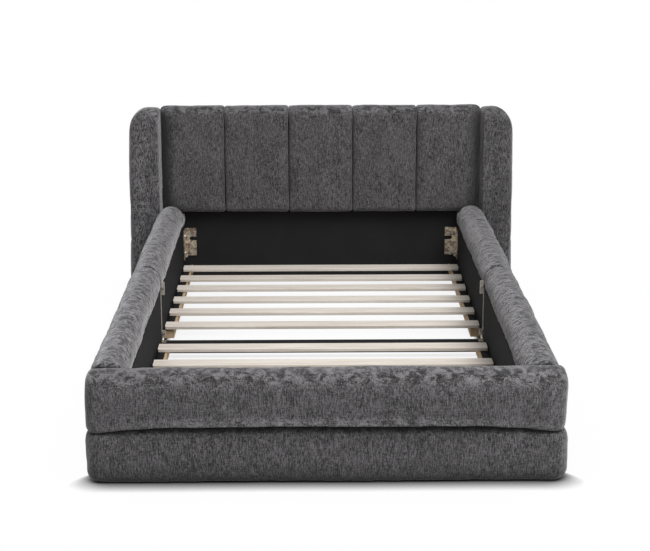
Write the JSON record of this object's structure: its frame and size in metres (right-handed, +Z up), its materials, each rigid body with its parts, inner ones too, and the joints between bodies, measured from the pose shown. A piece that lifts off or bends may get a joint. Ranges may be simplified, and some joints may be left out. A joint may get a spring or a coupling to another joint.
{
  "type": "single bed",
  "caption": "Low upholstered single bed with a winged, channel-padded headboard, padded side rails that bolt together at mid length, a low padded footboard and a slatted base.",
  "frame": {"origin": "middle of the bed's bounding box, on the floor", "axes": "+Z up, +Y from the footboard to the headboard, +X to the right seen from the foot"},
  "size_m": [1.3912, 2.078, 0.64],
  "materials": {
    "chenille": "dark grey chenille with a soft pile, over foam",
    "black_lining": "black non-woven lining, stretched and stapled",
    "hook_tape": "black hook-and-loop tape",
    "pine": "planed, unfinished softwood",
    "plywood": "raw plywood and battens",
    "zinc_plate": "pressed steel, zinc and yellow passivated",
    "steel_fixings": "bright zinc plated screws and bolts",
    "glide_plastic": "black moulded glides"
  },
  "bodies": {
    "root": {"headboard_panel": "plywood", "headboard_battens": "pine", "headboard_back_cover": "black_lining", "headboard_lining": "black_lining", "headboard_channel_1": "chenille", "headboard_channel_2": "chenille", "headboard_channel_3": "chenille", "headboard_channel_4": "chenille", "headboard_channel_5": "chenille", "wing_core_left": "plywood", "wing_core_right": "plywood", "wing_pad_left": "chenille", "wing_pad_right": "chenille", "wing_bolts": "steel_fixings", "rail_frame_head_left": "plywood", "rail_frame_head_right": "plywood", "rail_frame_foot_left": "plywood", "rail_frame_foot_right": "plywood", "rail_lining_head_left": "black_lining", "rail_lining_head_right": "black_lining", "rail_lining_foot_left": "black_lining", "rail_lining_foot_right": "black_lining", "rail_roll_head_left": "chenille", "rail_roll_head_right": "chenille", "rail_roll_foot_left": "chenille", "rail_roll_foot_right": "chenille", "rail_skirt_head_left": "chenille", "rail_skirt_head_right": "chenille", "rail_skirt_foot_left": "chenille", "rail_skirt_foot_right": "chenille", "ledger_head_left": "pine", "ledger_head_right": "pine", "ledger_foot_left": "pine", "ledger_foot_right": "pine", "ledger_tapes": "hook_tape", "footboard_frame": "plywood", "footboard_lining": "black_lining", "footboard_roll": "chenille", "footboard_skirt": "chenille", "slat_head_1": "pine", "slat_head_2": "pine", "slat_head_3": "pine", "slat_head_4": "pine", "slat_head_5": "pine", "slat_head_6": "pine", "slat_foot_1": "pine", "slat_foot_2": "pine", "slat_foot_3": "pine", "slat_foot_4": "pine", "slat_foot_5": "pine", "slat_foot_6": "pine", "crossbar": "black_lining", "crossbar_angles": "zinc_plate", "corner_brackets_head": "zinc_plate", "corner_brackets_foot": "zinc_plate", "joint_plates": "zinc_plate", "joint_bolts": "steel_fixings", "wood_screws": "steel_fixings", "floor_glides": "glide_plastic"}
  },
  "joints": []
}
